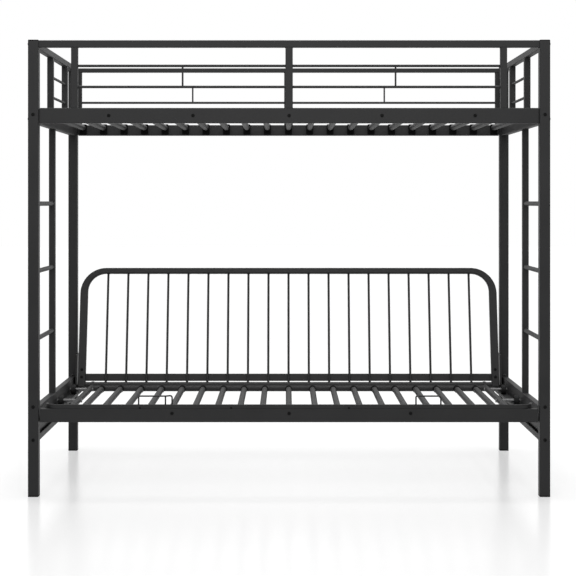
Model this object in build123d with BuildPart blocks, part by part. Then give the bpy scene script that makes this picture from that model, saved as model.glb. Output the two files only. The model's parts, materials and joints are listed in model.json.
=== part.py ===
from build123d import *
import os
from math import cos, radians, sin, sqrt

# A metal bunk bed: an upper deck with guard rails on four posts, over a futon
# sofa whose seat rolls forward while its back lies down behind it.
# Millimetres. X runs along the length, the front faces -Y, Z is up from the floor,
# and the origin is on the floor under the middle of the bed.

# Overall size over the posts
length = 1981.0
depth = 1054.0
height = 1734.0

# Posts, their feet and caps
post_size = 40.0
post_wall = 1.5
post_corner = 4.0
foot_flange = 5.0
foot_edge = 1.0
foot_plug_length = 22.0
cap_flange = 4.0
cap_edge = 2.0
cap_plug_length = 6.0
plug_gap = 0.1

# Square tubes of the frame
tube = 25.0
tube_wall = 1.2
tube_corner = 2.4

# Rails around the upper deck, a drop below the posts' tops
deck_drop = 316.5
deck_rail_height = 58.0
rear_rail_height = 47.5
rail_seam = 4.9
seam_inset = 4.0

# Slats of the upper deck and the sockets that hold them
slat_diameter = 25.0
slat_wall = 1.2
deck_slat_rise = 22.5
deck_side_slats = 10
deck_centre_extra = 3.0
deck_end_space = 27.5
holder_width = 31.0
holder_rise = 4.5
holder_height = 46.0
holder_depth = 14.0
holder_corner = 4.0
socket_wall = 2.0
socket_gap = 0.1

# Front guard of the upper bunk
guard_rail_height = 27.0
guard_top_drop = 1.5
guard_upright_inset = 135.0
centre_upright_width = 28.0
rod_diameter = 10.0
front_rod_drops = (98.0, 178.0)
spacer_diameter = 7.0
front_spacer_inset = 545.5

# Rear guard, two panels side by side
panel_tube = 19.0
panel_wall = 1.2
panel_corner = 2.0
panel_drop = 13.0
rear_rod_drops = (96.0, 168.0)
rear_spacer_inset = 518.5
panel_gap = 1.0

# Guards at the two ends
end_rail_drop = 4.0
end_upright_from_front = 407.5
end_upright_from_rear = 229.0
end_rung_diameter = 11.0
end_rung_drops = (105.0, 187.0)

# Ladder in the front half of each end
ladder_from_front = 450.0
ladder_rung_diameter = 18.0
ladder_first_rise = 256.0
ladder_top_space = 305.5
ladder_rungs = 3
rung_wall = 1.2

# Lower rails at the two ends
end_rail_rise = 3.0
seat_end_rail_height = 51.0
side_sheet_height = 57.0
side_sheet_thickness = 2.0
end_plate_width = 34.0
end_plate_thickness = 3.0
end_plate_rise = 14.0
end_plate_drop = 3.0

# Rear rail that the back lies on when it is a bed
rest_rail_height = 30.0
rest_gap = 0.5

# Seat of the futon
seat_rail_bottom = 282.0
seat_rail_height = 51.0
lip_height = 16.5
lip_thickness = 9.0
lip_corner = 2.0
lip_end_space = 20.5
lip_radius = 52.0
lip_return = 60.0
seat_tube = 25.0
seat_wall = 1.5
seat_tube_rise = 20.0
seat_side_inset = 84.0
seat_rear_space = 67.0
seat_first_space = 104.0
seat_last_space = 82.0
seat_end_space = 50.5
seat_even_slats = 8
slat_cap_wall = 2.2
slat_cap_gap = 0.1
slat_cap_length = 30.0

# Wire loops that keep the mattress from sliding off the front
wire = 6.0
loop_rise = 31.5
loop_bend = 9.0
loop_corner = 5.0
left_loop_inset = 379.0
left_loop_width = 101.9
left_loop_return = 23.9
left_loop_back = 17.0
right_loop_inset = 374.0
right_loop_width = 94.5

# Tracks and rollers that carry the seat
travel = 400.0
track_width = 44.0
track_wall = 2.0
track_lip = 9.0
track_outer_wall = 20.0
roller_diameter = 40.0
roller_width = 20.0
roller_edge = 1.5
roller_dish = 2.0
roller_rim = 4.0
roller_hub = 19.0
roller_gap = 0.3
rear_roller_offset = 40.0
axle_diameter = 10.0
axle_gap = 0.05
axle_collar = 16.0
axle_head = 4.0
axle_side_gap = 0.3
stop_gap = 0.6

# Hinge between the seat and the back, in front of the rear posts and over the seat's tubes
hinge_inset = 97.0
hinge_rise = 7.0
hinge_gap = 0.08
hinge_ring = 2.5
hinge_thickness = 12.0
hinge_foot = 27.0

# Back of the futon
back_lean = 11.7
back_rise = 512.0
back_side_gap = 9.5
back_top_width = 26.0
back_side_width = 34.0
back_thickness = 25.0
back_wall = 1.5
back_edge = 6.0
back_corner = 115.0
back_inner_corner = 80.0
back_tube = 25.0
back_end_space = 89.0
back_side_rods = 9
back_rod_wall = 1.0
crossbar_height = 32.0
crossbar_thickness = 12.0
crossbar_corner = 3.0
crossbar_start = 18.0

# Plates inside the rear posts that the back passes between, wider at the bottom
guide_plate_thickness = 8.0
guide_plate_drop = 7.0
guide_plate_height = 135.0
guide_plate_top_reach = 43.0
guide_plate_reach = 64.0
guide_plate_corner = 4.0

# Fasteners
bolt_head = 13.0
bolt_head_height = 3.5
bolt_dome = 1.5
bolt_shank = 6.0
bolt_gap = 0.1
bolt_grip = 9.0
plug_thickness = 14.0
pin_head = 8.0
pin_head_height = 1.6
pin_shank = 4.0
deck_bolt_rise = 32.5
deck_side_bolt_rise = 16.5
plate_bolt_rise = 5.0
nut_width = 9.0
nut_height = 5.0
deck_rail_bolt_shares = (-0.724, -0.386, 0.0, 0.373, 0.747)
seat_rail_bolt_shares = (-0.470, 0.0, 0.488)
seat_pin_shares = (-0.599, -0.233, 0.240)
seat_bolt_rise = 34.0
seat_pin_rise = 4.0
back_bolt_rises = (68.0, 36.0)

# Places across the length and the depth, from the sizes above
inner_x = length / 2 - post_size
post_x = (length - post_size) / 2
post_y = (depth - post_size) / 2
front_face = -depth / 2
post_back = front_face + post_size
bay_half = post_y - post_size / 2
rail_half = inner_x - rail_seam
deck_inner_y = post_y - tube / 2
end_inner_x = post_x - tube / 2
slat_radius = slat_diameter / 2
rod_radius = rod_diameter / 2
guard_upright_x = inner_x - guard_upright_inset
front_spacer_x = inner_x - front_spacer_inset
rear_spacer_x = inner_x - rear_spacer_inset
deck_slat_space = (inner_x - deck_end_space - deck_centre_extra) / deck_side_slats
bolt_hole = bolt_shank / 2 + bolt_gap

# Heights of the upper bunk, down from the posts' tops
deck_rail_bottom = height - deck_drop
deck_rail_top = deck_rail_bottom + deck_rail_height
deck_rail_mid = deck_rail_bottom + deck_rail_height / 2
rear_rail_top = deck_rail_bottom + rear_rail_height
rear_rail_mid = deck_rail_bottom + rear_rail_height / 2
deck_slat_mid = deck_rail_bottom + deck_slat_rise + slat_radius
holder_mid = deck_rail_bottom + holder_rise + holder_height / 2
guard_mid = height - guard_top_drop - guard_rail_height / 2
guard_bottom = guard_mid - guard_rail_height / 2
front_rod_heights = [height - drop for drop in front_rod_drops]
panel_top = height - panel_drop
panel_mid = panel_top - panel_tube / 2
rear_rod_heights = [height - drop for drop in rear_rod_drops]
end_rail_mid = height - end_rail_drop - tube / 2
end_rung_heights = [height - drop for drop in end_rung_drops]
deck_side_bolt_height = deck_rail_bottom + deck_side_bolt_rise

# Places of the seat, its tracks and the rails beside them
seat_rail_mid = seat_rail_bottom + seat_rail_height / 2
seat_rail_top = seat_rail_bottom + seat_rail_height
seat_rail_front = -post_y - tube / 2
seat_rail_back = -post_y + tube / 2
lip_top = seat_rail_top + lip_height
lip_half_width = inner_x - lip_end_space
seat_tube_height = seat_rail_bottom + seat_tube_rise
seat_radius = seat_tube / 2
seat_side_x = inner_x - seat_side_inset
hinge_y = bay_half - hinge_inset
hinge_height = seat_tube_height + hinge_rise
seat_rear_y = hinge_y - seat_rear_space
seat_slat_room = seat_side_x - seat_end_space - seat_last_space - seat_first_space
seat_slat_space = seat_slat_room / (seat_even_slats - 1)
seat_bolt_height = seat_rail_bottom + seat_bolt_rise
seat_pin_height = seat_rail_top + seat_pin_rise
roller_radius = roller_diameter / 2
track_floor = seat_tube_height - roller_radius - roller_gap
track_inner_x = end_inner_x - track_width
roller_x = end_inner_x - track_width / 2
track_half = bay_half - end_plate_thickness
stop_reach = sqrt(roller_radius**2 - (roller_radius + roller_gap - track_lip) ** 2)
front_roller_y = track_wall + stop_reach + stop_gap + travel - track_half
rear_roller_y = seat_rear_y - rear_roller_offset
seat_end_rail_bottom = seat_rail_bottom + end_rail_rise
seat_end_rail_mid = seat_end_rail_bottom + seat_end_rail_height / 2
seat_end_rail_top = seat_end_rail_bottom + seat_end_rail_height
sheet_low = seat_end_rail_bottom - side_sheet_height
low_tube_mid = sheet_low - tube / 2
plate_bolt_height = seat_end_rail_top + plate_bolt_rise
rest_rail_mid = hinge_height - back_thickness / 2 - rest_gap - rest_rail_height / 2

# Heights of the ladder's rungs, evenly spaced between the rails beside the seat and the deck
first_rung = seat_end_rail_top + ladder_first_rise
rung_space = (deck_rail_bottom - ladder_top_space - first_rung) / (ladder_rungs - 1)

# Sizes of the back
back_length = back_rise / cos(radians(back_lean))
rod_top = back_length - back_top_width
back_half_width = inner_x - guide_plate_thickness - back_side_gap
back_inner_x = back_half_width - back_side_width
back_rod_space = (back_inner_x - back_end_space) / back_side_rods

post_bolt_heights = (deck_rail_bottom + deck_bolt_rise, plate_bolt_height, low_tube_mid)
front_side_bolts = (deck_side_bolt_height, guard_mid)
rear_side_bolts = (deck_side_bolt_height, panel_mid, rest_rail_mid)
sides = ((-1, "left"), (1, "right"))

# The back's own planes, all on the hinge axis: back_plane has Y up the back and faces
# the sitter, rod_plane is square to the rods, and back_side_plane is square to the axis
lean = radians(back_lean)
back_plane = Plane((0, hinge_y, hinge_height), x_dir=(1, 0, 0), z_dir=(0, -cos(lean), sin(lean)))
rod_plane = Plane((0, hinge_y, hinge_height), x_dir=(1, 0, 0), z_dir=(0, sin(lean), cos(lean)))
back_side_plane = Plane(
    (0, hinge_y, hinge_height), x_dir=(0, cos(lean), -sin(lean)), z_dir=(1, 0, 0)
)


def box_section(width, tall, wall, corner):
    """Outline of a rectangular tube, in the sketch that is open."""
    RectangleRounded(width, tall, corner)
    RectangleRounded(width - 2 * wall, tall - 2 * wall, corner - wall, mode=Mode.SUBTRACT)


def round_section(diameter, wall):
    """Outline of a round tube, in the sketch that is open."""
    Circle(diameter / 2)
    Circle(diameter / 2 - wall, mode=Mode.SUBTRACT)


def plug_section(width, tall, wall, corner):
    """Outline of a plug that fits inside a rectangular tube, in the sketch that is open."""
    inset = 2 * (wall + plug_gap)
    RectangleRounded(width - inset, tall - inset, corner - wall)


def cross_plane(x):
    """Plane across the length at X, with the bed's Y and Z as its own axes."""
    return Plane.YZ.offset(x)


def front_plane(y):
    """Plane at Y that faces the front, with the bed's X and Z as its own axes."""
    return Plane.XZ.offset(-y)


def level_plane(z):
    """Level plane at a height over the floor."""
    return Plane.XY.offset(z)


def both_sides(places):
    """The places on the right, and the same ones mirrored to the left."""
    return [(-x, y) for x, y in places] + list(places)


def slat_places(first, space, count):
    """Places of slats on both sides of a slat on the centre line."""
    one_side = [first + space * turn for turn in range(count)]
    return [-place for place in reversed(one_side)] + [0.0] + one_side


deck_slat_x = slat_places(deck_slat_space + deck_centre_extra, deck_slat_space, deck_side_slats)
seat_slat_x = slat_places(seat_first_space, seat_slat_space, seat_even_slats)
seat_slat_x = [seat_slat_x[0] - seat_last_space, *seat_slat_x, seat_slat_x[-1] + seat_last_space]
rod_x = slat_places(back_rod_space, back_rod_space, back_side_rods)

os.makedirs("parts", exist_ok=True)

# Posts: square tubes, drilled for the bolts of the end rails and the side rails
for end, row, side_bolts in ((-1, "front", front_side_bolts), (1, "rear", rear_side_bolts)):
    for side, word in sides:
        with BuildPart() as post:
            with BuildSketch(level_plane(foot_flange)):
                with Locations((side * post_x, end * post_y)):
                    box_section(post_size, post_size, post_wall, post_corner)
            extrude(amount=height - foot_flange - cap_flange)
            with BuildSketch(front_plane(end * post_y)):
                with Locations(*[(side * post_x, level) for level in post_bolt_heights]):
                    Circle(bolt_hole)
            extrude(amount=post_size, both=True, mode=Mode.SUBTRACT)
            with BuildSketch(cross_plane(side * post_x)):
                with Locations(*[(end * post_y, level) for level in side_bolts]):
                    Circle(bolt_hole)
            extrude(amount=post_size, both=True, mode=Mode.SUBTRACT)
        post.part.label = f"{row}_{word}_post"
        export_step(post.part, f"parts/{row}_{word}_post.step")

# Caps: low square lids, each with a plug inside its post's top
with BuildPart() as post_caps:
    with BuildSketch(level_plane(height - cap_flange)):
        with GridLocations(2 * post_x, 2 * post_y, 2, 2):
            RectangleRounded(post_size, post_size, post_corner)
    extrude(amount=cap_flange)
    chamfer(faces().group_by(Axis.Z)[-1].edges(), length=cap_edge)
    with BuildSketch(level_plane(height - cap_flange)):
        with GridLocations(2 * post_x, 2 * post_y, 2, 2):
            plug_section(post_size, post_size, post_wall, post_corner)
    extrude(amount=-cap_plug_length)
post_caps.part.label = "post_caps"
export_step(post_caps.part, "parts/post_caps.step")

# Feet: plastic glides plugged into the posts' bottoms
with BuildPart() as post_feet:
    with BuildSketch():
        with GridLocations(2 * post_x, 2 * post_y, 2, 2):
            RectangleRounded(post_size, post_size, post_corner)
    extrude(amount=foot_flange)
    chamfer(faces().group_by(Axis.Z)[0].edges(), length=foot_edge)
    with BuildSketch(level_plane(foot_flange)):
        with GridLocations(2 * post_x, 2 * post_y, 2, 2):
            plug_section(post_size, post_size, post_wall, post_corner)
    extrude(amount=foot_plug_length)
post_feet.part.label = "post_feet"
export_step(post_feet.part, "parts/post_feet.step")

# Rails across each end: at the top, beside the deck and beside the seat
for side, word in sides:
    with BuildPart() as end_top_rail:
        with BuildSketch(Plane.XZ):
            with Locations((side * post_x, end_rail_mid)):
                box_section(tube, tube, tube_wall, tube_corner)
        extrude(amount=bay_half, both=True)
    end_top_rail.part.label = f"{word}_end_top_rail"
    export_step(end_top_rail.part, f"parts/{word}_end_top_rail.step")

    with BuildPart() as deck_end_rail:
        with BuildSketch(Plane.XZ):
            with Locations((side * post_x, deck_rail_mid)):
                box_section(tube, deck_rail_height, tube_wall, tube_corner)
        extrude(amount=bay_half, both=True)
    deck_end_rail.part.label = f"{word}_deck_end_rail"
    export_step(deck_end_rail.part, f"parts/{word}_deck_end_rail.step")

    with BuildPart() as seat_end_rail:
        with BuildSketch(Plane.XZ):
            with Locations((side * post_x, seat_end_rail_mid)):
                box_section(tube, seat_end_rail_height, tube_wall, tube_corner)
        extrude(amount=bay_half - end_plate_thickness, both=True)
    seat_end_rail.part.label = f"{word}_seat_end_rail"
    export_step(seat_end_rail.part, f"parts/{word}_seat_end_rail.step")

# Plates on the ends of the rails beside the seat, taller than the rails, with a bolt above them
with BuildPart() as end_rail_plates:
    plate_low = seat_end_rail_bottom - end_plate_drop
    plate_high = seat_end_rail_top + end_plate_rise
    with BuildSketch(front_plane(post_back)):
        with Locations(*both_sides([(post_x, (plate_low + plate_high) / 2)])):
            RectangleRounded(end_plate_width, plate_high - plate_low, tube_corner)
        with Locations(*both_sides([(post_x, plate_bolt_height)])):
            Circle(bolt_hole, mode=Mode.SUBTRACT)
    extrude(amount=-end_plate_thickness)
    mirror(about=Plane.XZ)
end_rail_plates.part.label = "end_rail_plates"
export_step(end_rail_plates.part, "parts/end_rail_plates.step")

# Low tubes of the two ends, and the sheet between each of them and the rail above
with BuildPart() as low_end_tubes:
    with BuildSketch(Plane.XZ):
        with Locations(*both_sides([(post_x, low_tube_mid)])):
            box_section(tube, tube, tube_wall, tube_corner)
    extrude(amount=bay_half, both=True)
low_end_tubes.part.label = "low_end_tubes"
export_step(low_end_tubes.part, "parts/low_end_tubes.step")

with BuildPart() as end_side_sheets:
    with BuildSketch(Plane.XZ):
        with Locations(*both_sides([(post_x, sheet_low + side_sheet_height / 2)])):
            Rectangle(side_sheet_thickness, side_sheet_height)
    extrude(amount=bay_half - end_plate_thickness, both=True)
end_side_sheets.part.label = "end_side_sheets"
export_step(end_side_sheets.part, "parts/end_side_sheets.step")

# Guards at the two ends: uprights from the deck rail to the top rail, with rungs between
upright_y = [front_face + end_upright_from_front, bay_half - end_upright_from_rear]
with BuildPart() as end_guard_uprights:
    with BuildSketch(level_plane(deck_rail_top)):
        with Locations(*both_sides([(post_x, place) for place in upright_y])):
            box_section(tube, tube, tube_wall, tube_corner)
    extrude(amount=end_rail_mid - tube / 2 - deck_rail_top)
end_guard_uprights.part.label = "end_guard_uprights"
export_step(end_guard_uprights.part, "parts/end_guard_uprights.step")

with BuildPart() as end_guard_rungs:
    with BuildSketch(front_plane(upright_y[1] - tube / 2)):
        with Locations(*both_sides([(post_x, level) for level in end_rung_heights])):
            Circle(end_rung_diameter / 2)
    extrude(amount=upright_y[1] - upright_y[0] - tube)
end_guard_rungs.part.label = "end_guard_rungs"
export_step(end_guard_rungs.part, "parts/end_guard_rungs.step")

# Ladders: an upright at each end, with round rungs from the front post to it
ladder_y = front_face + ladder_from_front
with BuildPart() as ladder_uprights:
    with BuildSketch(level_plane(seat_end_rail_top)):
        with Locations(*both_sides([(post_x, ladder_y)])):
            box_section(tube, tube, tube_wall, tube_corner)
    extrude(amount=deck_rail_bottom - seat_end_rail_top)
ladder_uprights.part.label = "ladder_uprights"
export_step(ladder_uprights.part, "parts/ladder_uprights.step")

for side, word in sides:
    with BuildPart() as ladder_rungs_part:
        rung_heights = [first_rung + rung_space * turn for turn in range(ladder_rungs)]
        with BuildSketch(front_plane(ladder_y - tube / 2)):
            with Locations(*[(side * post_x, level) for level in rung_heights]):
                round_section(ladder_rung_diameter, rung_wall)
        extrude(amount=ladder_y - tube / 2 - post_back)
    ladder_rungs_part.part.label = f"{word}_ladder_rungs"
    export_step(ladder_rungs_part.part, f"parts/{word}_ladder_rungs.step")

# Rails of the deck along the front and the rear
with BuildPart() as front_deck_rail:
    with BuildSketch(Plane.YZ):
        with Locations((-post_y, deck_rail_mid)):
            box_section(tube, deck_rail_height, tube_wall, tube_corner)
    extrude(amount=rail_half, both=True)
    with BuildSketch(front_plane(-post_y)):
        with Locations(*[(share * rail_half, deck_rail_mid) for share in deck_rail_bolt_shares]):
            Circle(bolt_hole)
    extrude(amount=tube, both=True, mode=Mode.SUBTRACT)
front_deck_rail.part.label = "front_deck_rail"
export_step(front_deck_rail.part, "parts/front_deck_rail.step")

with BuildPart() as rear_deck_rail:
    with BuildSketch(Plane.YZ):
        with Locations((post_y, rear_rail_mid)):
            box_section(tube, rear_rail_height, tube_wall, tube_corner)
    extrude(amount=rail_half, both=True)
rear_deck_rail.part.label = "rear_deck_rail"
export_step(rear_deck_rail.part, "parts/rear_deck_rail.step")

# Plates in the seams between the deck rails' ends and the posts
with BuildPart() as rail_seam_plates:
    with BuildSketch(cross_plane(rail_half)):
        with Locations((-post_y, deck_rail_mid)):
            Rectangle(tube - 2 * seam_inset, deck_rail_height - 2 * seam_inset)
        with Locations((post_y, rear_rail_mid)):
            Rectangle(tube - 2 * seam_inset, rear_rail_height - 2 * seam_inset)
        with Locations((-post_y, deck_side_bolt_height), (post_y, deck_side_bolt_height)):
            Circle(bolt_hole, mode=Mode.SUBTRACT)
    extrude(amount=rail_seam)
    mirror(about=Plane.YZ)
rail_seam_plates.part.label = "rail_seam_plates"
export_step(rail_seam_plates.part, "parts/rail_seam_plates.step")

# Slats of the deck, from rail to rail, and the plastic sockets that hold their ends
slat_half = deck_inner_y - socket_wall - socket_gap
with BuildPart() as deck_slats:
    with BuildSketch(Plane.XZ):
        with Locations(*[(place, deck_slat_mid) for place in deck_slat_x]):
            round_section(slat_diameter, slat_wall)
    extrude(amount=slat_half, both=True)
deck_slats.part.label = "deck_slats"
export_step(deck_slats.part, "parts/deck_slats.step")

with BuildPart() as slat_holders:
    with BuildSketch(front_plane(-deck_inner_y)):
        with Locations(*[(place, holder_mid) for place in deck_slat_x]):
            RectangleRounded(holder_width, holder_height, holder_corner)
    extrude(amount=-holder_depth)
    with BuildSketch(front_plane(-slat_half - socket_gap)):
        with Locations(*[(place, deck_slat_mid) for place in deck_slat_x]):
            Circle(slat_radius + socket_gap)
    extrude(amount=-holder_depth, mode=Mode.SUBTRACT)
    mirror(about=Plane.XZ)
slat_holders.part.label = "slat_holders"
export_step(slat_holders.part, "parts/slat_holders.step")

# Front guard: a top rail between the posts, three uprights, and two rods in each bay
with BuildPart() as front_guard_rail:
    with BuildSketch(Plane.YZ):
        with Locations((-post_y, guard_mid)):
            box_section(tube, guard_rail_height, tube_wall, tube_corner)
    extrude(amount=inner_x, both=True)
front_guard_rail.part.label = "front_guard_rail"
export_step(front_guard_rail.part, "parts/front_guard_rail.step")

with BuildPart() as front_guard_uprights:
    with BuildSketch(level_plane(deck_rail_top)):
        with Locations((-guard_upright_x, -post_y), (guard_upright_x, -post_y)):
            box_section(tube, tube, tube_wall, tube_corner)
        with Locations((0, -post_y)):
            box_section(centre_upright_width, tube, tube_wall, tube_corner)
    extrude(amount=guard_bottom - deck_rail_top)
front_guard_uprights.part.label = "front_guard_uprights"
export_step(front_guard_uprights.part, "parts/front_guard_uprights.step")

with BuildPart() as front_guard_rods:
    with BuildSketch(cross_plane(centre_upright_width / 2)):
        with Locations(*[(-post_y, level) for level in front_rod_heights]):
            Circle(rod_radius)
    extrude(amount=guard_upright_x - tube / 2 - centre_upright_width / 2)
    mirror(about=Plane.YZ)
front_guard_rods.part.label = "front_guard_rods"
export_step(front_guard_rods.part, "parts/front_guard_rods.step")

# Rear guard: two welded panels that meet in the middle
panel_outer_x = inner_x - panel_tube / 2
panel_inner_x = panel_gap / 2 + panel_tube / 2
panel_bay = panel_outer_x - panel_inner_x - panel_tube
with BuildPart() as rear_guard_top_rails:
    with BuildSketch(cross_plane(panel_gap / 2)):
        with Locations((post_y, panel_mid)):
            box_section(panel_tube, panel_tube, panel_wall, panel_corner)
    extrude(amount=inner_x - panel_gap / 2)
    mirror(about=Plane.YZ)
rear_guard_top_rails.part.label = "rear_guard_top_rails"
export_step(rear_guard_top_rails.part, "parts/rear_guard_top_rails.step")

with BuildPart() as rear_guard_uprights:
    with BuildSketch(level_plane(rear_rail_top)):
        with Locations(*both_sides([(panel_inner_x, post_y), (panel_outer_x, post_y)])):
            box_section(panel_tube, panel_tube, panel_wall, panel_corner)
    extrude(amount=panel_top - panel_tube - rear_rail_top)
rear_guard_uprights.part.label = "rear_guard_uprights"
export_step(rear_guard_uprights.part, "parts/rear_guard_uprights.step")

with BuildPart() as rear_guard_rods:
    with BuildSketch(cross_plane(panel_inner_x + panel_tube / 2)):
        with Locations(*[(post_y, level) for level in rear_rod_heights]):
            Circle(rod_radius)
    extrude(amount=panel_bay)
    mirror(about=Plane.YZ)
rear_guard_rods.part.label = "rear_guard_rods"
export_step(rear_guard_rods.part, "parts/rear_guard_rods.step")

# Short spacers between the two rods of each bay, coped to the rods
with BuildPart() as guard_spacers:
    with BuildSketch(level_plane(front_rod_heights[1])):
        with Locations(*both_sides([(front_spacer_x, -post_y)])):
            Circle(spacer_diameter / 2)
    extrude(amount=front_rod_heights[0] - front_rod_heights[1])
    with BuildSketch(level_plane(rear_rod_heights[1])):
        with Locations(*both_sides([(rear_spacer_x, post_y)])):
            Circle(spacer_diameter / 2)
    extrude(amount=rear_rod_heights[0] - rear_rod_heights[1])
    with BuildSketch(Plane.YZ):
        with Locations(*[(-post_y, level) for level in front_rod_heights]):
            Circle(rod_radius)
        with Locations(*[(post_y, level) for level in rear_rod_heights]):
            Circle(rod_radius)
    extrude(amount=rail_half, both=True, mode=Mode.SUBTRACT)
guard_spacers.part.label = "guard_spacers"
export_step(guard_spacers.part, "parts/guard_spacers.step")

# Low rail between the rear posts, which carries the back when it lies flat
with BuildPart() as rear_rest_rail:
    with BuildSketch(Plane.YZ):
        with Locations((post_y, rest_rail_mid)):
            box_section(tube, rest_rail_height, tube_wall, tube_corner)
    extrude(amount=inner_x, both=True)
rear_rest_rail.part.label = "rear_rest_rail"
export_step(rear_rest_rail.part, "parts/rear_rest_rail.step")

# Guide plates on the inner faces of the rear posts
with BuildPart() as rear_guide_plates:
    guide_low = hinge_height - guide_plate_drop
    guide_high = guide_low + guide_plate_height
    with BuildSketch(cross_plane(inner_x)):
        with BuildLine():
            Polyline(
                (bay_half - guide_plate_reach, guide_low),
                (depth / 2, guide_low),
                (depth / 2, guide_high),
                (bay_half - guide_plate_top_reach, guide_high),
                close=True,
            )
        make_face()
        fillet(vertices(), radius=guide_plate_corner)
    extrude(amount=-guide_plate_thickness)
    mirror(about=Plane.YZ)
rear_guide_plates.part.label = "rear_guide_plates"
export_step(rear_guide_plates.part, "parts/rear_guide_plates.step")

# Tracks: folded steel troughs on the rails beside the seat, closed by a stop at the front
for side, word in sides:
    with BuildPart() as track:
        wall_top = track_floor + track_outer_wall
        lip_peak = track_floor + track_lip
        inner_edge = side * track_inner_x
        outer_edge = side * end_inner_x
        fold = side * track_wall
        base = track_floor - track_wall
        with BuildSketch(Plane.XZ):
            with BuildLine():
                Polyline(
                    (inner_edge, base),
                    (outer_edge, base),
                    (outer_edge, wall_top),
                    (outer_edge - fold, wall_top),
                    (outer_edge - fold, track_floor),
                    (inner_edge + fold, track_floor),
                    (inner_edge + fold, lip_peak),
                    (inner_edge, lip_peak),
                    close=True,
                )
            make_face()
        extrude(amount=track_half, both=True)
        with BuildSketch(front_plane(-track_half)):
            with Locations((side * roller_x, (base + lip_peak) / 2)):
                Rectangle(track_width, lip_peak - base)
        extrude(amount=-track_wall)
    track.part.label = f"{word}_track"
    export_step(track.part, f"parts/{word}_track.step")

# Solid plugs in the ends of the tubes, which the bolts screw into
with BuildPart() as rail_end_plugs:
    for end in (-1, 1):
        with BuildSketch(front_plane(end * bay_half)):
            with Locations(*both_sides([(post_x, deck_rail_mid)])):
                plug_section(tube, deck_rail_height, tube_wall, tube_corner)
            with Locations(*both_sides([(post_x, low_tube_mid)])):
                plug_section(tube, tube, tube_wall, tube_corner)
            with Locations(*both_sides([(post_x, post_bolt_heights[0]), (post_x, low_tube_mid)])):
                Circle(bolt_hole, mode=Mode.SUBTRACT)
        extrude(amount=end * plug_thickness)
    for side, word in sides:
        with BuildSketch(cross_plane(side * rail_half)):
            with Locations((-post_y, deck_rail_mid)):
                plug_section(tube, deck_rail_height, tube_wall, tube_corner)
            with Locations((post_y, rear_rail_mid)):
                plug_section(tube, rear_rail_height, tube_wall, tube_corner)
            with Locations((-post_y, deck_side_bolt_height), (post_y, deck_side_bolt_height)):
                Circle(bolt_hole, mode=Mode.SUBTRACT)
        extrude(amount=-side * plug_thickness)
        with BuildSketch(cross_plane(side * inner_x)):
            with Locations((-post_y, guard_mid)):
                plug_section(tube, guard_rail_height, tube_wall, tube_corner)
            with Locations((post_y, panel_mid)):
                plug_section(panel_tube, panel_tube, panel_wall, panel_corner)
            with Locations((post_y, rest_rail_mid)):
                plug_section(tube, rest_rail_height, tube_wall, tube_corner)
            with Locations((-post_y, guard_mid), (post_y, panel_mid), (post_y, rest_rail_mid)):
                Circle(bolt_hole, mode=Mode.SUBTRACT)
        extrude(amount=-side * plug_thickness)
rail_end_plugs.part.label = "rail_end_plugs"
export_step(rail_end_plugs.part, "parts/rail_end_plugs.step")

# Bolts through the posts from the front and the rear, and the nuts behind the end plates
post_bolt_places = both_sides([(post_x, level) for level in post_bolt_heights])
with BuildPart() as post_bolts:
    with BuildSketch(front_plane(front_face)):
        with Locations(*post_bolt_places):
            Circle(bolt_head / 2)
    extrude(amount=bolt_head_height)
    fillet(edges().group_by(Axis.Y)[0], radius=bolt_dome)
    with BuildSketch(front_plane(front_face)):
        with Locations(*post_bolt_places):
            Circle(bolt_shank / 2)
    extrude(amount=-post_size - plug_thickness)
    mirror(about=Plane.XZ)
post_bolts.part.label = "post_bolts"
export_step(post_bolts.part, "parts/post_bolts.step")

with BuildPart() as plate_nuts:
    with BuildSketch(front_plane(post_back + end_plate_thickness)):
        with Locations(*both_sides([(post_x, plate_bolt_height)])):
            RegularPolygon(nut_width / 2, 6, major_radius=False)
            Circle(bolt_hole, mode=Mode.SUBTRACT)
    extrude(amount=-nut_height)
    mirror(about=Plane.XZ)
plate_nuts.part.label = "plate_nuts"
export_step(plate_nuts.part, "parts/plate_nuts.step")

# Bolts through the posts from the two ends, into the rails along the length
side_bolt_places = [(-post_y, level) for level in front_side_bolts]
side_bolt_places += [(post_y, level) for level in rear_side_bolts]
with BuildPart() as side_bolts:
    with BuildSketch(cross_plane(length / 2)):
        with Locations(*side_bolt_places):
            Circle(bolt_head / 2)
    extrude(amount=bolt_head_height)
    fillet(edges().group_by(Axis.X)[-1], radius=bolt_dome)
    with BuildSketch(cross_plane(length / 2)):
        with Locations(*side_bolt_places):
            Circle(bolt_shank / 2)
    extrude(amount=-post_size - plug_thickness)
    mirror(about=Plane.YZ)
side_bolts.part.label = "side_bolts"
export_step(side_bolts.part, "parts/side_bolts.step")

# Bolts through the front deck rail
with BuildPart() as deck_rail_bolts:
    deck_bolt_places = [(share * rail_half, deck_rail_mid) for share in deck_rail_bolt_shares]
    with BuildSketch(front_plane(seat_rail_front)):
        with Locations(*deck_bolt_places):
            Circle(bolt_head / 2)
    extrude(amount=bolt_head_height)
    fillet(edges().group_by(Axis.Y)[0], radius=bolt_dome)
    with BuildSketch(front_plane(seat_rail_front)):
        with Locations(*deck_bolt_places):
            Circle(bolt_shank / 2)
    extrude(amount=-tube)
deck_rail_bolts.part.label = "deck_rail_bolts"
export_step(deck_rail_bolts.part, "parts/deck_rail_bolts.step")

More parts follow.
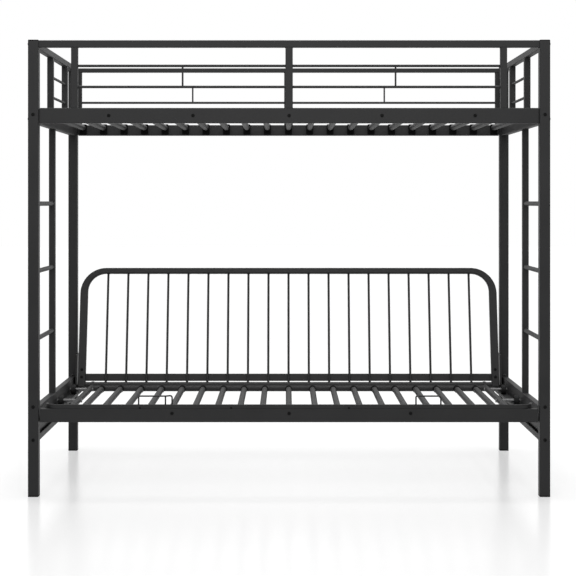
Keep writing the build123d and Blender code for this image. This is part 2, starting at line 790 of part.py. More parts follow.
# Seat: its front rail, which rests between the front posts
with BuildPart() as seat_front_rail:
    with BuildSketch(Plane.YZ):
        with Locations((-post_y, seat_rail_mid)):
            box_section(tube, seat_rail_height, tube_wall, tube_corner)
    extrude(amount=rail_half, both=True)
    with BuildSketch(front_plane(-post_y)):
        with Locations(*[(share * rail_half, seat_bolt_height) for share in seat_rail_bolt_shares]):
            Circle(bolt_hole)
    extrude(amount=tube, both=True, mode=Mode.SUBTRACT)
seat_front_rail.part.label = "seat_front_rail"
export_step(seat_front_rail.part, "parts/seat_front_rail.step")

# Lip on the front rail, which turns back at both ends
with BuildPart() as seat_front_lip:
    lip_x = lip_half_width - lip_thickness / 2
    lip_y = seat_rail_front + lip_thickness / 2
    lip_end = seat_rail_front + lip_return
    with BuildLine(level_plane(seat_rail_top + lip_height / 2)) as lip_path:
        FilletPolyline(
            (-lip_x, lip_end),
            (-lip_x, lip_y),
            (lip_x, lip_y),
            (lip_x, lip_end),
            radius=lip_radius - lip_thickness / 2,
        )
    with BuildSketch(Plane(lip_path.line @ 0, x_dir=(1, 0, 0), z_dir=lip_path.line % 0)):
        box_section(lip_thickness, lip_height, tube_wall, lip_corner)
    sweep()
    with BuildSketch(front_plane(seat_rail_front)):
        with Locations(*[(share * rail_half, seat_pin_height) for share in seat_pin_shares]):
            Circle(pin_shank / 2 + bolt_gap)
    extrude(amount=-lip_thickness, mode=Mode.SUBTRACT)
seat_front_lip.part.label = "seat_front_lip"
export_step(seat_front_lip.part, "parts/seat_front_lip.step")

# Side tubes of the seat, from the front rail to the hinges, drilled for the axles
with BuildPart() as seat_side_tubes:
    with BuildSketch(front_plane(seat_rail_back)):
        with Locations(*both_sides([(seat_side_x, seat_tube_height)])):
            round_section(seat_tube, seat_wall)
    extrude(amount=seat_rail_back + hinge_foot - hinge_y)
    with BuildSketch(Plane.YZ):
        with Locations((front_roller_y, seat_tube_height), (rear_roller_y, seat_tube_height)):
            Circle(axle_diameter / 2 + plug_gap)
    extrude(amount=inner_x, both=True, mode=Mode.SUBTRACT)
seat_side_tubes.part.label = "seat_side_tubes"
export_step(seat_side_tubes.part, "parts/seat_side_tubes.step")

# Rear tube of the seat, coped to the side tubes
with BuildPart() as seat_rear_tube:
    with BuildSketch(Plane.YZ):
        with Locations((seat_rear_y, seat_tube_height)):
            round_section(seat_tube, seat_wall)
    extrude(amount=seat_side_x, both=True)
    with BuildSketch(front_plane(seat_rear_y)):
        with Locations(*both_sides([(seat_side_x, seat_tube_height)])):
            Circle(seat_radius)
    extrude(amount=seat_tube, both=True, mode=Mode.SUBTRACT)
seat_rear_tube.part.label = "seat_rear_tube"
export_step(seat_rear_tube.part, "parts/seat_rear_tube.step")

# Slats of the seat, coped to the rear tube, and the dark sleeves on their rear ends
with BuildPart() as seat_slats:
    with BuildSketch(front_plane(seat_rail_back)):
        with Locations(*[(place, seat_tube_height) for place in seat_slat_x]):
            round_section(slat_diameter, slat_wall)
    extrude(amount=seat_rail_back - seat_rear_y)
    with BuildSketch(Plane.YZ):
        with Locations((seat_rear_y, seat_tube_height)):
            Circle(seat_radius)
    extrude(amount=inner_x, both=True, mode=Mode.SUBTRACT)
seat_slats.part.label = "seat_slats"
export_step(seat_slats.part, "parts/seat_slats.step")

with BuildPart() as seat_slat_caps:
    sleeve_radius = slat_radius + slat_cap_gap
    with BuildSketch(front_plane(seat_rear_y - seat_radius)):
        with Locations(*[(place, seat_tube_height) for place in seat_slat_x]):
            Circle(sleeve_radius + slat_cap_wall)
            Circle(sleeve_radius, mode=Mode.SUBTRACT)
    extrude(amount=slat_cap_length)
seat_slat_caps.part.label = "seat_slat_caps"
export_step(seat_slat_caps.part, "parts/seat_slat_caps.step")

# Wire loops that stand on the lip: the left one turns back behind its inner leg
loop_y = seat_rail_front + lip_thickness / 2
loop_top = lip_top + loop_rise
left_loop_outer = inner_x - left_loop_inset
left_loop_leg = left_loop_outer - left_loop_width
left_loop_end = left_loop_leg - left_loop_return
right_loop_outer = inner_x - right_loop_inset
right_loop_inner = right_loop_outer - right_loop_width
with BuildPart() as mattress_loops:
    with BuildLine() as left_path:
        FilletPolyline(
            (-left_loop_outer, loop_y, lip_top),
            (-left_loop_outer, loop_y, loop_top),
            (-left_loop_leg, loop_y, loop_top),
            (-left_loop_end, loop_y + left_loop_back, loop_top),
            (-left_loop_end, loop_y + left_loop_back, seat_rail_top),
            radius=(loop_corner, loop_bend, loop_bend),
        )
    with BuildSketch(Plane(left_path.line @ 0, z_dir=left_path.line % 0)):
        Circle(wire / 2)
    sweep(path=left_path.line)
    with BuildLine() as right_path:
        FilletPolyline(
            (right_loop_inner, loop_y, lip_top),
            (right_loop_inner, loop_y, loop_top),
            (right_loop_outer, loop_y, loop_top),
            (right_loop_outer, loop_y, lip_top),
            radius=(loop_corner, loop_bend),
        )
    with BuildSketch(Plane(right_path.line @ 0, z_dir=right_path.line % 0)):
        Circle(wire / 2)
    sweep(path=right_path.line)
    with BuildSketch(level_plane(lip_top)):
        with Locations((-left_loop_leg, loop_y)):
            Circle(wire / 2)
    extrude(amount=loop_rise)
mattress_loops.part.label = "mattress_loops"
export_step(mattress_loops.part, "parts/mattress_loops.step")

# Bolts through the seat's front rail, and the small pins on its lip
with BuildPart() as seat_rail_bolts:
    seat_bolt_places = [(share * rail_half, seat_bolt_height) for share in seat_rail_bolt_shares]
    seat_pin_places = [(share * rail_half, seat_pin_height) for share in seat_pin_shares]
    with BuildSketch(front_plane(seat_rail_front)):
        with Locations(*seat_bolt_places):
            Circle(bolt_head / 2)
    extrude(amount=bolt_head_height)
    fillet(edges().group_by(Axis.Y)[0], radius=bolt_dome)
    with BuildSketch(front_plane(seat_rail_front)):
        with Locations(*seat_bolt_places):
            Circle(bolt_shank / 2)
    extrude(amount=-tube)
    with BuildSketch(front_plane(seat_rail_front)):
        with Locations(*seat_pin_places):
            Circle(pin_head / 2)
    extrude(amount=pin_head_height)
    with BuildSketch(front_plane(seat_rail_front)):
        with Locations(*seat_pin_places):
            Circle(pin_shank / 2)
    extrude(amount=-lip_thickness)
seat_rail_bolts.part.label = "seat_rail_bolts"
export_step(seat_rail_bolts.part, "parts/seat_rail_bolts.step")

# Hinge brackets: rings round the back's bottom tube, each on a foot at its side tube's end
with BuildPart() as hinge_brackets:
    hinge_bore = back_tube / 2 + hinge_gap
    with BuildSketch(cross_plane(seat_side_x)):
        with Locations((hinge_y, hinge_height)):
            Circle(hinge_bore + hinge_ring)
        with Locations((hinge_y - hinge_foot / 2, seat_tube_height)):
            Rectangle(hinge_foot, seat_tube)
        with Locations((hinge_y, hinge_height)):
            Circle(hinge_bore, mode=Mode.SUBTRACT)
    extrude(amount=hinge_thickness / 2, both=True)
    mirror(about=Plane.YZ)
hinge_brackets.part.label = "hinge_brackets"
export_step(hinge_brackets.part, "parts/hinge_brackets.step")

# Axles: a head inside the side tube, a collar outside it, and a retaining end past the roller
axle_places = [(front_roller_y, seat_tube_height), (rear_roller_y, seat_tube_height)]
tube_side = seat_side_x + seat_radius
roller_side = roller_x - roller_width / 2 - axle_side_gap
retainer_side = roller_x + roller_width / 2 + axle_side_gap
with BuildPart() as roller_axles:
    for start, diameter, reach in (
        (seat_side_x - seat_radius, axle_collar, -axle_head),
        (seat_side_x - seat_radius, axle_diameter, retainer_side + seat_radius - seat_side_x),
        (tube_side, axle_collar, roller_side - tube_side),
        (retainer_side, axle_collar, axle_head),
    ):
        with BuildSketch(cross_plane(start)):
            with Locations(*axle_places):
                Circle(diameter / 2)
        extrude(amount=reach)
    mirror(about=Plane.YZ)
roller_axles.part.label = "roller_axles"
export_step(roller_axles.part, "parts/roller_axles.step")

# Rollers: plastic wheels, dished on both faces, on the axles' journals
for row, roller_y in (("front", front_roller_y), ("rear", rear_roller_y)):
    for side, word in sides:
        with BuildPart() as roller:
            with BuildSketch(cross_plane(side * roller_x)):
                with Locations((roller_y, seat_tube_height)):
                    Circle(roller_radius)
            extrude(amount=roller_width / 2, both=True)
            chamfer(edges(), length=roller_edge)
            for face in (-1, 1):
                with BuildSketch(cross_plane(side * roller_x + face * roller_width / 2)):
                    with Locations((roller_y, seat_tube_height)):
                        Circle(roller_radius - roller_rim)
                        Circle(roller_hub / 2, mode=Mode.SUBTRACT)
                extrude(amount=-face * roller_dish, mode=Mode.SUBTRACT)
            with BuildSketch(cross_plane(side * roller_x)):
                with Locations((roller_y, seat_tube_height)):
                    Circle(axle_diameter / 2 + axle_gap)
            extrude(amount=roller_width, both=True, mode=Mode.SUBTRACT)
        roller.part.label = f"{row}_{word}_roller"
        export_step(roller.part, f"parts/{row}_{word}_roller.step")

# Back: a bent rectangular tube with square lower ends, drilled for the bolts on its sides
side_middle = (back_half_width + back_inner_x) / 2
front_offset = back_thickness / 2
back_bolt_places = both_sides(
    [
        (side_middle, (rise - front_offset * sin(lean)) / cos(lean))
        for rise in back_bolt_rises
    ]
)
with BuildPart() as back_frame:
    low_end = -back_tube / 2
    with BuildSketch(back_plane):
        with BuildLine():
            FilletPolyline(
                (-back_half_width, low_end),
                (-back_half_width, back_length),
                (back_half_width, back_length),
                (back_half_width, low_end),
                radius=back_corner,
            )
            FilletPolyline(
                (-back_inner_x, low_end),
                (-back_inner_x, rod_top),
                (back_inner_x, rod_top),
                (back_inner_x, low_end),
                radius=back_inner_corner,
            )
            Line((-back_half_width, low_end), (-back_inner_x, low_end))
            Line((back_inner_x, low_end), (back_half_width, low_end))
        make_face()
    extrude(amount=back_thickness / 2, both=True)
    fillet(faces().filter_by(back_plane).edges(), radius=back_edge)
    offset(amount=-back_wall, mode=Mode.SUBTRACT)
    with BuildSketch(back_plane.offset(front_offset)):
        with Locations(*back_bolt_places):
            Circle(bolt_hole)
    extrude(amount=-bolt_grip, mode=Mode.SUBTRACT)
back_frame.part.label = "back_frame"
export_step(back_frame.part, "parts/back_frame.step")

# Bottom tube of the back, which turns in the hinge brackets
with BuildPart() as back_bottom_tube:
    with BuildSketch(Plane.YZ):
        with Locations((hinge_y, hinge_height)):
            round_section(back_tube, back_wall)
    extrude(amount=back_inner_x, both=True)
back_bottom_tube.part.label = "back_bottom_tube"
export_step(back_bottom_tube.part, "parts/back_bottom_tube.step")

# Rods of the back, coped to the bottom tube
with BuildPart() as back_rods:
    with BuildSketch(rod_plane):
        with Locations(*[(place, 0) for place in rod_x]):
            round_section(rod_diameter, back_rod_wall)
    extrude(amount=rod_top)
    with BuildSketch(Plane.YZ):
        with Locations((hinge_y, hinge_height)):
            Circle(back_tube / 2)
    extrude(amount=back_inner_x, both=True, mode=Mode.SUBTRACT)
back_rods.part.label = "back_rods"
export_step(back_rods.part, "parts/back_rods.step")

# Crossbar behind the rods
with BuildPart() as back_crossbar:
    with BuildSketch(back_side_plane):
        with Locations((rod_radius + crossbar_thickness / 2, crossbar_start + crossbar_height / 2)):
            box_section(crossbar_thickness, crossbar_height, back_wall, crossbar_corner)
    extrude(amount=back_inner_x, both=True)
back_crossbar.part.label = "back_crossbar"
export_step(back_crossbar.part, "parts/back_crossbar.step")

# Bolts in the fronts of the back's side tubes
with BuildPart() as back_bolts:
    for start, diameter, reach in (
        (front_offset, bolt_head, bolt_head_height),
        (front_offset, bolt_shank, -bolt_grip),
    ):
        with BuildSketch(back_plane.offset(start)):
            with Locations(*back_bolt_places):
                Circle(diameter / 2)
        extrude(amount=reach)
back_bolts.part.label = "back_bolts"
export_step(back_bolts.part, "parts/back_bolts.step")
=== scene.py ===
import json
import math

import bpy
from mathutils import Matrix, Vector


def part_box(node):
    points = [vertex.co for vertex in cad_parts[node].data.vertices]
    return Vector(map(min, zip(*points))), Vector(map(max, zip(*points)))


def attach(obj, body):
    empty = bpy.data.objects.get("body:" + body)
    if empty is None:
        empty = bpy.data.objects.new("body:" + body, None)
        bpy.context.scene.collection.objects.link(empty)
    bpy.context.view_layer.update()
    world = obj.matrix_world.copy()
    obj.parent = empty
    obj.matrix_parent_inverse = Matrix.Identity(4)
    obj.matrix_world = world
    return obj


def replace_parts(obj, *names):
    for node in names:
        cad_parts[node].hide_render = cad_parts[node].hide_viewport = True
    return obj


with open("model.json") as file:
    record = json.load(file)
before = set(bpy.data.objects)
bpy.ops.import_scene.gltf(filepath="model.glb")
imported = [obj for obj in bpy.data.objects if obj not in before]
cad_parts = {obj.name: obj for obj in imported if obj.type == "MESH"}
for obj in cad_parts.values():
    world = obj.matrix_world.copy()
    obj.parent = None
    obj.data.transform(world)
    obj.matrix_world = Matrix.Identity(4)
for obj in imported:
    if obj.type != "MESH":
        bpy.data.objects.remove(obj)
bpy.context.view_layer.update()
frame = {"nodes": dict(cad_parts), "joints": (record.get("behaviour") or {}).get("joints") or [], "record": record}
nodes = frame["nodes"]
MM = 0.001


def add_object(name, data):
    """A new object in the scene."""
    made = bpy.data.objects.new(name, data)
    bpy.context.scene.collection.objects.link(made)
    return made


def new_material(name):
    """A material, its node tree and its shader."""
    material = bpy.data.materials.new(name)
    material.use_nodes = True
    return material, material.node_tree, material.node_tree.nodes["Principled BSDF"]


# The camera stands level in front of the bed; the lens shift keeps the posts upright
CAMERA_X = -0.0144
CAMERA_HEIGHT = 1.116
CAMERA_DISTANCE = 5.436
POST_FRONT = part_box("front_left_post")[0].y
SENSOR = 36.0
FRAME_PIXELS = 576.0
FOCAL_PIXELS = 1434.3
VANISHING_X = 285.3
VANISHING_Y = 202.6
CLIP_START = 0.05
CLIP_END = 200.0
QUARTER_TURN = math.radians(90)


def make_camera():
    """The photograph's viewpoint."""
    data = bpy.data.cameras.new("photo_camera")
    data.sensor_width = SENSOR
    data.lens = FOCAL_PIXELS / FRAME_PIXELS * SENSOR
    data.shift_x = (FRAME_PIXELS / 2 - VANISHING_X) / FRAME_PIXELS
    data.shift_y = (VANISHING_Y - FRAME_PIXELS / 2) / FRAME_PIXELS
    data.clip_start = CLIP_START
    data.clip_end = CLIP_END
    camera = add_object("photo_camera", data)
    camera.location = (CAMERA_X, POST_FRONT - CAMERA_DISTANCE, CAMERA_HEIGHT)
    camera.rotation_euler = (QUARTER_TURN, 0, 0)
    bpy.context.scene.camera = camera


def math_node(tree, operation, first, second):
    """A Math node over two sockets, or a socket and a number."""
    node = tree.nodes.new("ShaderNodeMath")
    node.operation = operation
    tree.links.new(first, node.inputs[0])
    if isinstance(second, float):
        node.inputs[1].default_value = second
    else:
        tree.links.new(second, node.inputs[1])
    return node.outputs[0]


def ramp(tree, value, start, end, low, high):
    """The value mapped from the span start to end, to low and high."""
    node = tree.nodes.new("ShaderNodeMapRange")
    node.inputs["From Min"].default_value = start
    node.inputs["From Max"].default_value = end
    node.inputs["To Min"].default_value = low
    node.inputs["To Max"].default_value = high
    tree.links.new(value, node.inputs["Value"])
    return node.outputs["Result"]


def lens_rays(tree):
    """One for camera, glossy and transmission rays, zero for the rest."""
    path = tree.nodes.new("ShaderNodeLightPath")
    seen = math_node(
        tree, "MAXIMUM", path.outputs["Is Camera Ray"], path.outputs["Is Glossy Ray"]
    )
    return math_node(tree, "MAXIMUM", seen, path.outputs["Is Transmission Ray"])


# Light: a white room whose low part gives less light than its ceiling, and soft boxes
ROOM_LOW = 0.2
ROOM_HIGH = 0.6
ROOM_RISE = 0.8


def make_world():
    """White to the camera and in reflections; as a lamp, dimmer low down than above."""
    world = bpy.data.worlds.new("studio")
    bpy.context.scene.world = world
    world.use_nodes = True
    tree = world.node_tree
    tree.nodes.clear()
    place = tree.nodes.new("ShaderNodeTexCoord")
    split = tree.nodes.new("ShaderNodeSeparateXYZ")
    tree.links.new(place.outputs["Generated"], split.inputs[0])
    lamp = ramp(tree, split.outputs["Z"], 0.0, ROOM_RISE, ROOM_LOW, ROOM_HIGH)
    strength = math_node(tree, "MAXIMUM", lamp, lens_rays(tree))
    background = tree.nodes.new("ShaderNodeBackground")
    background.inputs["Color"].default_value = (1, 1, 1, 1)
    tree.links.new(strength, background.inputs["Strength"])
    output = tree.nodes.new("ShaderNodeOutputWorld")
    tree.links.new(background.outputs[0], output.inputs["Surface"])


# Soft boxes: place, the place that each one lights, its two sides, and power in watts
SOFT_BOXES = {
    "box_above": ((0.0, 0.3, 4.0), (0.0, 0.2, 0.7), (3.6, 1.4), 110),
    "box_front": ((0.0, -3.6, 2.9), (0.0, 0.0, 0.9), (3.6, 1.6), 58),
}


def soft_box(name, place, aim, size, power):
    """A rectangular area light that points at a place."""
    data = bpy.data.lights.new(name, "AREA")
    data.shape = "RECTANGLE"
    data.size, data.size_y = size
    data.energy = power
    light = add_object(name, data)
    light.location = place
    light.rotation_euler = (Vector(aim) - Vector(place)).to_track_quat("-Z", "Y").to_euler()


FLOOR_SIZE = 60.0
FLOOR_GLOW = 0.43
FLOOR_COLOUR = 0.5
FLOOR_ROUGHNESS = 0.2
FLOOR_SPECULAR = 0.12


def make_floor():
    """A pale floor that keeps the bed's soft shadow and a faint image of its feet."""
    mesh = bpy.data.meshes.new("floor")
    half = FLOOR_SIZE / 2
    corners = [(-half, -half, 0), (half, -half, 0), (half, half, 0), (-half, half, 0)]
    mesh.from_pydata(corners, [], [(0, 1, 2, 3)])
    floor = add_object("floor", mesh)
    material, tree, shader = new_material("floor")
    shader.inputs["Base Color"].default_value = (FLOOR_COLOUR, FLOOR_COLOUR, FLOOR_COLOUR, 1)
    shader.inputs["Roughness"].default_value = FLOOR_ROUGHNESS
    shader.inputs["Specular IOR Level"].default_value = FLOOR_SPECULAR
    shader.inputs["Emission Color"].default_value = (1, 1, 1, 1)
    tree.links.new(
        math_node(tree, "MULTIPLY", lens_rays(tree), FLOOR_GLOW),
        shader.inputs["Emission Strength"],
    )
    mesh.materials.append(material)


# Finishes: noise scales in features per metre
NOISE_LOW = 0.3
NOISE_HIGH = 0.7
NOISE_DETAIL = 2.0
NOISE_ROUGHNESS = 0.5
SLOW_DETAIL = 3.0
COAT_SLOW = 6.0
COAT_FINE = 900.0
PEEL_SCALE = 420.0
PEEL_ROUGHNESS = 0.6
PEEL_STRENGTH = 0.25
PEEL_DEPTH = 0.0002
GLOSS_DRIFT = 0.03
ZINC_SLOW = 40.0
ZINC_FINE = 1500.0
# Zinc tones set far darker than bare zinc: painted shade, so that the axles read as shaded inside the seat's track
ZINC_SHADED_DARK = (0.10, 0.10, 0.10)
ZINC_SHADED_LIGHT = (0.15, 0.15, 0.152)
ZINC_ROUGHNESS = (0.4, 0.5)

# Coats and plastics: darkest and lightest tone, roughness, specular level, depth of grain
COATS = {
    "black_steel": ((0.019, 0.019, 0.0195), (0.025, 0.025, 0.0255), 0.53, 0.23, 1.0),
    "black_bolt": ((0.004, 0.004, 0.004), (0.006, 0.006, 0.006), 0.6, 0.1, 1.0),
    "black_plastic": ((0.004, 0.004, 0.004), (0.006, 0.006, 0.006), 0.8, 0.06, 1.6),
    # roller_plastic: tones set darker than the plastic's own grey, as painted shade for the rollers inside the
    # track
    "roller_plastic": ((0.012, 0.012, 0.0125), (0.018, 0.018, 0.0185), 0.7, 0.15, 1.6),
}


def noise(tree, place, scale, detail=NOISE_DETAIL, roughness=NOISE_ROUGHNESS):
    """A noise texture over the object's own place."""
    node = tree.nodes.new("ShaderNodeTexNoise")
    node.inputs["Scale"].default_value = scale
    node.inputs["Detail"].default_value = detail
    node.inputs["Roughness"].default_value = roughness
    tree.links.new(place, node.inputs["Vector"])
    return node.outputs["Fac"]


def spread(tree, value, low, high):
    """A noise mapped from its usual span to low and high."""
    return ramp(tree, value, NOISE_LOW, NOISE_HIGH, low, high)


def blend_colour(tree, factor, first, second):
    """A mix of two grey or tinted colours by a factor."""
    node = tree.nodes.new("ShaderNodeMix")
    node.data_type = "RGBA"
    node.inputs["A"].default_value = (*first, 1)
    node.inputs["B"].default_value = (*second, 1)
    tree.links.new(factor, node.inputs["Factor"])
    return node.outputs["Result"]


def coated(name, dark, light, roughness, specular, grain):
    """Powder coat or moulded plastic: a fine orange peel, and slow changes of tone and gloss."""
    material, tree, shader = new_material(name)
    place = tree.nodes.new("ShaderNodeTexCoord").outputs["Object"]
    slow = noise(tree, place, COAT_SLOW, SLOW_DETAIL)
    fine = noise(tree, place, COAT_FINE)
    peel = noise(tree, place, PEEL_SCALE, NOISE_DETAIL, PEEL_ROUGHNESS)
    tree.links.new(
        blend_colour(tree, spread(tree, slow, 0.0, 1.0), dark, light), shader.inputs["Base Color"]
    )
    gloss = math_node(
        tree,
        "ADD",
        spread(tree, slow, roughness - GLOSS_DRIFT, roughness + GLOSS_DRIFT),
        spread(tree, fine, -GLOSS_DRIFT, GLOSS_DRIFT),
    )
    tree.links.new(gloss, shader.inputs["Roughness"])
    shader.inputs["Specular IOR Level"].default_value = specular
    bump = tree.nodes.new("ShaderNodeBump")
    bump.inputs["Strength"].default_value = PEEL_STRENGTH * grain
    bump.inputs["Distance"].default_value = PEEL_DEPTH
    tree.links.new(peel, bump.inputs["Height"])
    tree.links.new(bump.outputs[0], shader.inputs["Normal"])
    return material


def plated(name):
    """Zinc-plated steel with fine turning marks, its tone set far darker than bare zinc as painted shade."""
    material, tree, shader = new_material(name)
    place = tree.nodes.new("ShaderNodeTexCoord").outputs["Object"]
    slow = noise(tree, place, ZINC_SLOW, SLOW_DETAIL)
    fine = noise(tree, place, ZINC_FINE)
    tree.links.new(blend_colour(tree, slow, ZINC_SHADED_DARK, ZINC_SHADED_LIGHT), shader.inputs["Base Color"])
    shader.inputs["Metallic"].default_value = 1.0
    tree.links.new(spread(tree, fine, *ZINC_ROUGHNESS), shader.inputs["Roughness"])
    return material


MATERIALS = {slot: coated(slot, *values) for slot, values in COATS.items()}
MATERIALS["zinc_steel"] = plated("zinc_steel")


def dress_nodes():
    """Gives each CAD node the material of its slot."""
    for entry in frame["record"]["subparts"]:
        mesh = nodes[entry["node"]].data
        mesh.materials.clear()
        mesh.materials.append(MATERIALS[entry["material_slot"]])


# Detail pieces: places in millimetres, in the shared frame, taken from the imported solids
X, Y, Z = range(3)
JOIN_DIGITS = 6
PLACE_DIGITS = 3
SHARP_ANGLE = math.radians(35)
NEARLY_UPRIGHT = 0.9


def solids(node):
    """The lowest and highest corner of each solid of a CAD node, in order of place.

    Points that share a face belong to one solid, and so do points at one place.
    """
    mesh = nodes[node].data
    points = {}
    owners = [
        points.setdefault(tuple(round(part, JOIN_DIGITS) for part in vertex.co), len(points))
        for vertex in mesh.vertices
    ]
    leaders = list(range(len(points)))

    def leader(point):
        while leaders[point] != point:
            leaders[point] = leaders[leaders[point]]
            point = leaders[point]
        return point

    for face in mesh.polygons:
        first = leader(owners[face.vertices[0]])
        for vertex in face.vertices[1:]:
            leaders[leader(owners[vertex])] = first
    groups = {}
    for place, point in points.items():
        groups.setdefault(leader(point), []).append(place)
    return sorted(
        tuple(
            tuple(round(end(column) / MM, PLACE_DIGITS) for column in zip(*group))
            for end in (min, max)
        )
        for group in groups.values()
    )


def middle(corners):
    """The middle of a box."""
    return (Vector(corners[0]) + Vector(corners[1])) / 2


def axis_way(along, length=1.0):
    """A vector along one axis."""
    way = Vector((0, 0, 0))
    way[along] = length
    return way


def add_piece(name, vertices, faces, body, slot):
    """A detail piece that rides on a body, from places in millimetres."""
    mesh = bpy.data.meshes.new(name)
    mesh.from_pydata([tuple(part * MM for part in place) for place in vertices], [], faces)
    mesh.update()
    mesh.polygons.foreach_set("use_smooth", [True] * len(mesh.polygons))
    mesh.set_sharp_from_angle(angle=SHARP_ANGLE)
    mesh.materials.append(MATERIALS[slot])
    piece = add_object(name, mesh)
    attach(piece, body)
    return piece


def side_ways(axis):
    """Two directions square to an axis."""
    help_way = axis_way(Z) if abs(axis.z) < NEARLY_UPRIGHT else axis_way(X)
    first = axis.cross(help_way).normalized()
    return first, axis.cross(first)


# The back turns about its bottom tube, and lies flat at the end of its turn
RECLINE = next(joint for joint in frame["joints"] if joint["name"] == "back_recline")
LEAN = QUARTER_TURN - math.radians(RECLINE["range_deg"][1])
BACK_UP = Vector((0, math.sin(LEAN), math.cos(LEAN)))
BACK_FACING = Vector((0, -math.cos(LEAN), math.sin(LEAN)))

# Bolt heads: buttons with a hexagon socket, and domed pins, as rings of radius and height
ROUND_STEPS = 24
HEXAGON_TURN = math.tau / 6
SOCKET_HALF = 2.0
SOCKET_FLOOR = 1.6
SOCKET_TOP = 3.4
SOCKET_DIMPLE = 1.2
HEAD_RINGS = ((2.7, 3.5), (3.6, 3.46), (4.6, 3.2), (5.5, 2.75), (6.15, 2.1), (6.45, 1.2), (6.5, 0))
HEAD_TOP = HEAD_RINGS[0][1]
SHANK_RADIUS = 3.0
PIN_RINGS = ((1.5, 1.55), (2.6, 1.35), (3.4, 0.95), (3.85, 0.45), (4.0, 0))
PIN_TOP = 1.6
PIN_SHANK_RADIUS = 1.5
PIN_WIDEST = 10.0
TURN_STEP = 2.4


def hexagon(turn, half):
    """The radius of a hexagon in a direction, from half its width across flats."""
    return half / math.cos((turn + HEXAGON_TURN / 2) % HEXAGON_TURN - HEXAGON_TURN / 2)


def fastener_seat(corners, facing, radius, top, shank):
    """Where a head meets its face, and how deep the shank goes, from a fastener's box.

    A head that faces aslant reaches past its middle, in each axis, by its height's share of
    that axis and by its rim's share of the rest.
    """
    place = middle(corners)
    for axis, share in enumerate(facing):
        if share:
            rim = radius * math.sqrt(1 - share * share)
            outer = corners[share > 0][axis]
            place[axis] = outer - math.copysign(top * abs(share) + rim, share)
    along = max((X, Y, Z), key=lambda axis: abs(facing[axis]))
    share = facing[along]
    reach = abs(place[along] - corners[share < 0][along])
    return place, (reach - shank * math.sqrt(1 - share * share)) / abs(share)


def add_fastener(vertices, faces, corners, axis, turn):
    """One bolt or pin in the box of a plain one: its head outside the face, its shank inside."""
    if min(high - low for low, high in zip(*corners)) < PIN_WIDEST:
        rings, top, shank, centre = PIN_RINGS, PIN_TOP, PIN_SHANK_RADIUS, PIN_TOP
        stack = []
    else:
        rings, top, shank, centre = HEAD_RINGS, HEAD_TOP, SHANK_RADIUS, SOCKET_DIMPLE
        stack = [("hex", SOCKET_HALF, SOCKET_FLOOR), ("hex", SOCKET_HALF, SOCKET_TOP)]
    place, depth = fastener_seat(corners, axis, rings[-1][0], top, shank)
    first, second = side_ways(axis)
    stack += [("round", radius, height) for radius, height in rings]
    stack += [("round", shank, 0), ("round", shank, -depth)]
    start = len(vertices)
    vertices.append(place + axis * centre)
    for kind, radius, height in stack:
        for step in range(ROUND_STEPS):
            angle = math.tau * step / ROUND_STEPS
            reach = hexagon(angle, radius) if kind == "hex" else radius
            way = first * math.cos(angle + turn) + second * math.sin(angle + turn)
            vertices.append(place + way * reach + axis * height)
    vertices.append(place - axis * depth)
    last = len(vertices) - 1
    levels = [start + 1 + level * ROUND_STEPS for level in range(len(stack))]
    for step in range(ROUND_STEPS):
        after = (step + 1) % ROUND_STEPS
        faces.append((start, levels[0] + step, levels[0] + after))
        for low, high in zip(levels, levels[1:]):
            faces.append((low + step, high + step, high + after, low + after))
        faces.append((last, levels[-1] + after, levels[-1] + step))


def add_bolts(node, body, along=None, facing=None):
    """Dressed fasteners in place of a node's plain ones.

    They face out from the middle of the bed along an axis, or all one given way.
    """
    vertices, faces = [], []
    for count, corners in enumerate(solids(node)):
        way = facing or axis_way(along, math.copysign(1, middle(corners)[along]))
        add_fastener(vertices, faces, corners, way, count * TURN_STEP)
    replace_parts(add_piece(node + "_dressed", vertices, faces, body, "black_bolt"), node)


def add_all_bolts():
    """The button-head bolts and pins of the frame, the seat and the back."""
    add_bolts("post_bolts", "frame", along=Y)
    add_bolts("side_bolts", "frame", along=X)
    add_bolts("deck_rail_bolts", "frame", along=Y)
    add_bolts("seat_rail_bolts", "seat", along=Y)
    add_bolts("back_bolts", "back", facing=BACK_FACING)


# Weld beads: thin rippled cords along the lines where tubes meet
BEAD_SIDES = 8
BEAD_RIPPLE = 0.14
BEAD_PITCH = 1.3
BEAD_END_SHARE = 0.4
BEAD_INSET = 2.5
RING_STEPS = 36
LINE_PITCH = 1.2
BEAD = 1.4
SMALL_BEAD = 1.1
WIRE_BEAD = 0.9
# The wire loops: the left one's last leg stands behind its inner leg, and to its right
WIRE_RADIUS = 3.0
LOOP_RETURN = 23.9
# From the lowest point of a rod's end, cut to fit a round tube, to the middle of its bead
SADDLE_RISE = 0.84


def add_bead(vertices, faces, points, normal, closed, size):
    """A rippled cord along points that lie in one plane."""
    normal = normal.normalized()
    count = len(points)
    start = len(vertices)
    for step, point in enumerate(points):
        before = points[step - 1] if closed or step else point
        after = points[(step + 1) % count] if closed or step + 1 < count else point
        side = (after - before).normalized().cross(normal)
        size_here = size * (1 + BEAD_RIPPLE * math.sin(step * BEAD_PITCH))
        if not closed and step in (0, count - 1):
            size_here *= BEAD_END_SHARE
        for turn in range(BEAD_SIDES):
            angle = math.tau * turn / BEAD_SIDES
            vertices.append(
                point + (normal * math.cos(angle) + side * math.sin(angle)) * size_here
            )
    for step in range(count if closed else count - 1):
        low = start + step * BEAD_SIDES
        high = start + (step + 1) % count * BEAD_SIDES
        for turn in range(BEAD_SIDES):
            after = (turn + 1) % BEAD_SIDES
            faces.append((low + turn, low + after, high + after, high + turn))
    if not closed:
        end = start + (count - 1) * BEAD_SIDES
        faces.append(tuple(start + turn for turn in reversed(range(BEAD_SIDES))))
        faces.append(tuple(end + turn for turn in range(BEAD_SIDES)))


def ring(place, axis, radius):
    """Points of a circle round an axis at a place."""
    first, second = side_ways(axis)
    return [
        place
        + first * radius * math.cos(math.tau * step / RING_STEPS)
        + second * radius * math.sin(math.tau * step / RING_STEPS)
        for step in range(RING_STEPS)
    ]


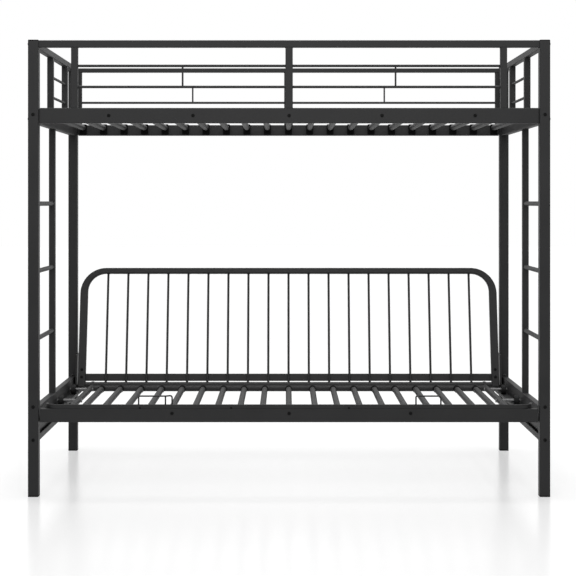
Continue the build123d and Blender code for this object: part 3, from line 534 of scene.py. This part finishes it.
def line(start, end):
    """Points along a straight line."""
    count = max(2, round((end - start).length / LINE_PITCH))
    return [start.lerp(end, step / count) for step in range(count + 1)]


def end_rings(node, along, size, ends=(0, 1)):
    """Beads round the ends of a node's round bars, which run along one axis."""
    rings = []
    for corners in solids(node):
        widths = Vector(corners[1]) - Vector(corners[0])
        widths[along] = 0
        for end in ends:
            place = middle(corners)
            place[along] = corners[end][along]
            rings.append((place, axis_way(along), max(widths) / 2, size))
    return rings


def end_lines(node, along):
    """Beads at both ends of a node's uprights, on the sides that face along their rails."""
    lines = []
    across = Y if along == X else X
    for low, high in solids(node):
        for height in (low[Z], high[Z]):
            for side in (low[along], high[along]):
                corner = axis_way(Z, height) + axis_way(along, side)
                start = corner + axis_way(across, low[across] + BEAD_INSET)
                end = corner + axis_way(across, high[across] - BEAD_INSET)
                lines.append((start, end, axis_way(Z), BEAD))
    return lines


def add_welds(name, body, rings, lines=()):
    """The beads of one group: rings of place, axis, radius and size; lines of ends and normal."""
    vertices, faces = [], []
    for place, axis, radius, size in rings:
        add_bead(vertices, faces, ring(place, axis, radius), axis, True, size)
    for start, end, normal, size in lines:
        add_bead(vertices, faces, line(start, end), normal, False, size)
    add_piece(name, vertices, faces, body, "black_steel")


def add_frame_welds():
    """Beads of the ladders and guards."""
    rungs = end_rings("left_ladder_rungs", Y, BEAD) + end_rings("right_ladder_rungs", Y, BEAD)
    add_welds("ladder_welds", "frame", rungs, end_lines("ladder_uprights", Y))
    rods = (
        end_rings("end_guard_rungs", Y, SMALL_BEAD)
        + end_rings("front_guard_rods", X, SMALL_BEAD)
        + end_rings("rear_guard_rods", X, SMALL_BEAD)
    )
    uprights = (
        end_lines("front_guard_uprights", X)
        + end_lines("end_guard_uprights", Y)
        + end_lines("rear_guard_uprights", X)
    )
    add_welds("guard_welds", "frame", rods, uprights)


def add_seat_welds():
    """Beads where the slats and side tubes meet the front rail, and under the wire loops."""
    front_end = (0,)
    tubes = end_rings("seat_slats", Y, BEAD, front_end)
    tubes += end_rings("seat_side_tubes", Y, BEAD, front_end)
    add_welds("seat_welds", "seat", tubes)
    lip_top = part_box("seat_front_lip")[1].z / MM
    wire = Vector((WIRE_RADIUS, WIRE_RADIUS, 0))
    (left_low, left_high), (right_low, right_high) = solids("mattress_loops")
    return_foot = Vector((left_high[X], left_high[Y], left_low[Z])) - wire
    outer_foot = Vector((left_low[X], left_low[Y], lip_top)) + wire
    legs = [
        outer_foot.x,
        return_foot.x - LOOP_RETURN,
        right_low[X] + WIRE_RADIUS,
        right_high[X] - WIRE_RADIUS,
    ]
    feet = [Vector((x, outer_foot.y, lip_top)) for x in legs] + [return_foot]
    rings = [(foot, axis_way(Z), WIRE_RADIUS, WIRE_BEAD) for foot in feet]
    add_welds("loop_welds", "seat", rings)


def add_back_welds():
    """Beads at both ends of the back's rods, where they meet the round tubes."""
    rings = []
    for low, high in solids("back_rods"):
        radius = (high[X] - low[X]) / 2
        x = (high[X] + low[X]) / 2
        inset = BACK_UP * SADDLE_RISE + Vector((0, math.cos(LEAN), math.sin(LEAN))) * radius
        foot = Vector((x, low[Y], low[Z])) + inset
        top = Vector((x, high[Y], high[Z])) - inset
        rings += [(place, BACK_UP, radius, SMALL_BEAD) for place in (foot, top)]
    add_welds("back_welds", "back", rings)


bpy.context.scene.view_settings.view_transform = "Standard"
make_camera()
make_world()
make_floor()
for name, values in SOFT_BOXES.items():
    soft_box(name, *values)
dress_nodes()
add_all_bolts()
add_frame_welds()
add_seat_welds()
add_back_welds()
